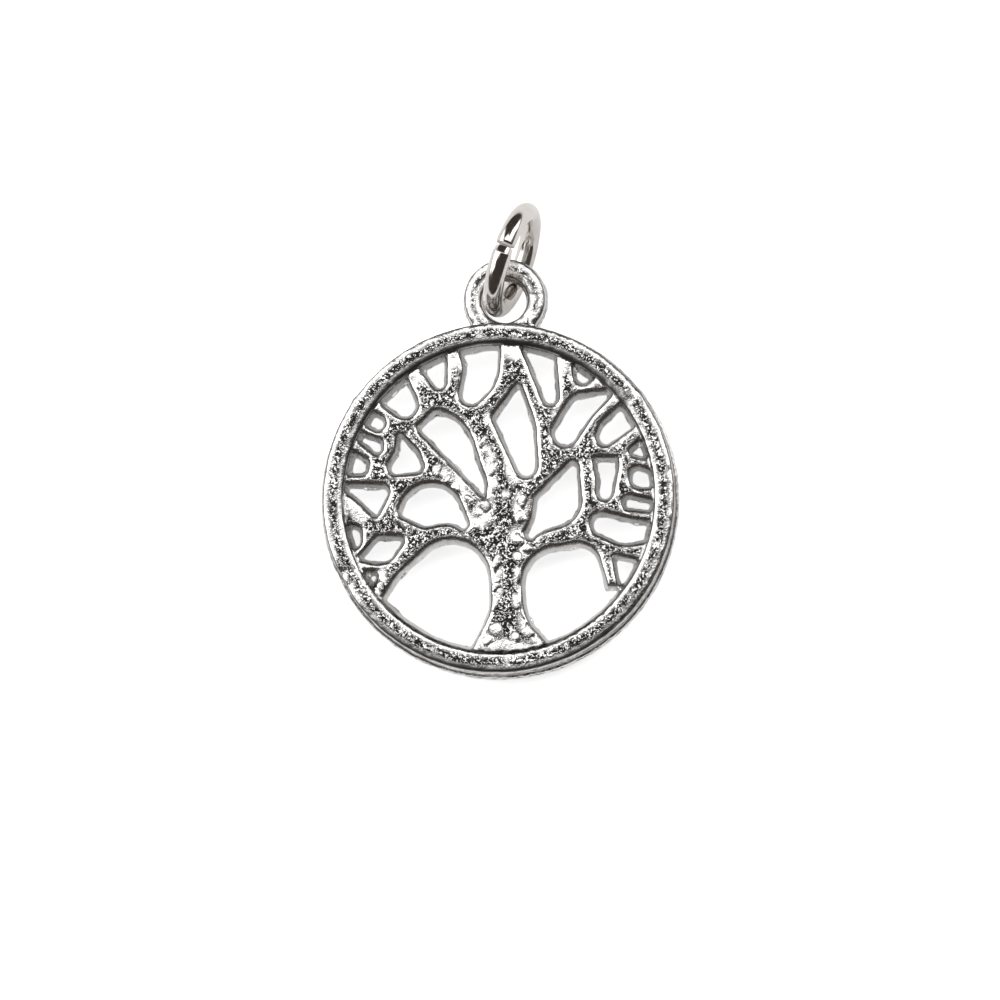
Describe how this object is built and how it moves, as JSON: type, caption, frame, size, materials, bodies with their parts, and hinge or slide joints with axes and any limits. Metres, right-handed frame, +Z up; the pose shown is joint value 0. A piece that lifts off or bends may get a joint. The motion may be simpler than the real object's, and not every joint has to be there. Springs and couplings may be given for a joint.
{
  "type": "tree of life pendant",
  "caption": "Small round pierced charm: a bare tree with spreading branches inside a plain rim, with an eye at the top and a jump ring to hang it from.",
  "frame": {"origin": "middle of the underside of the whole part as it lies face up on a level surface", "axes": "+Z up from that surface, the tree's front facing up; +Y from the roots to the eye; +X to the right as seen from the front"},
  "size_m": [0.018, 0.0238, 0.006],
  "materials": {
    "antiqued_casting": "cast and antiqued, bright on the raised edges and dark in the hollows",
    "plated_wire": "polished"
  },
  "bodies": {
    "root": {"tree_casting": "antiqued_casting", "jump_ring": "plated_wire"}
  },
  "joints": []
}
